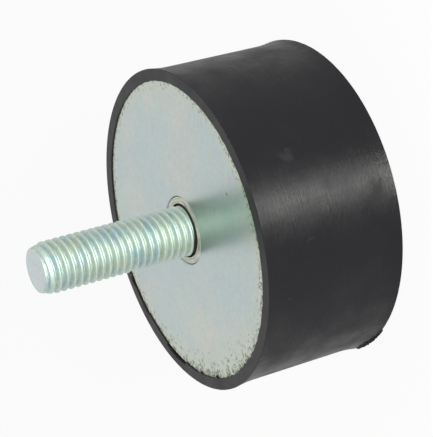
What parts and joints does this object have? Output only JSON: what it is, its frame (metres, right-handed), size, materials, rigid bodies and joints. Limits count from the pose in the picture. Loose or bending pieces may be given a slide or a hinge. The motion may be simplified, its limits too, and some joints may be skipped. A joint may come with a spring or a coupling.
{
  "type": "bobbin vibration mount",
  "caption": "Short rubber cylinder bonded between two round steel plates, with a threaded stud on one end and a threaded bush in the other, for isolating vibration.",
  "frame": {"origin": "centre of the rear face, in the plane of the rear rubber rim on which the mount stands", "axes": "+Z along the mount's axis, from the rear face towards the tip of the stud"},
  "size_m": [0.076, 0.076, 0.072],
  "materials": {
    "rubber": "moulded black rubber, satin",
    "plate_steel": "zinc-plated steel, soft sheen",
    "bush_steel": "turned and zinc-plated steel",
    "stud_steel": "zinc-plated threaded steel"
  },
  "bodies": {
    "root": {"rubber_body": "rubber", "front_plate": "plate_steel", "rear_plate": "plate_steel", "front_bush": "bush_steel", "rear_bush": "bush_steel", "stud": "stud_steel"}
  },
  "joints": []
}
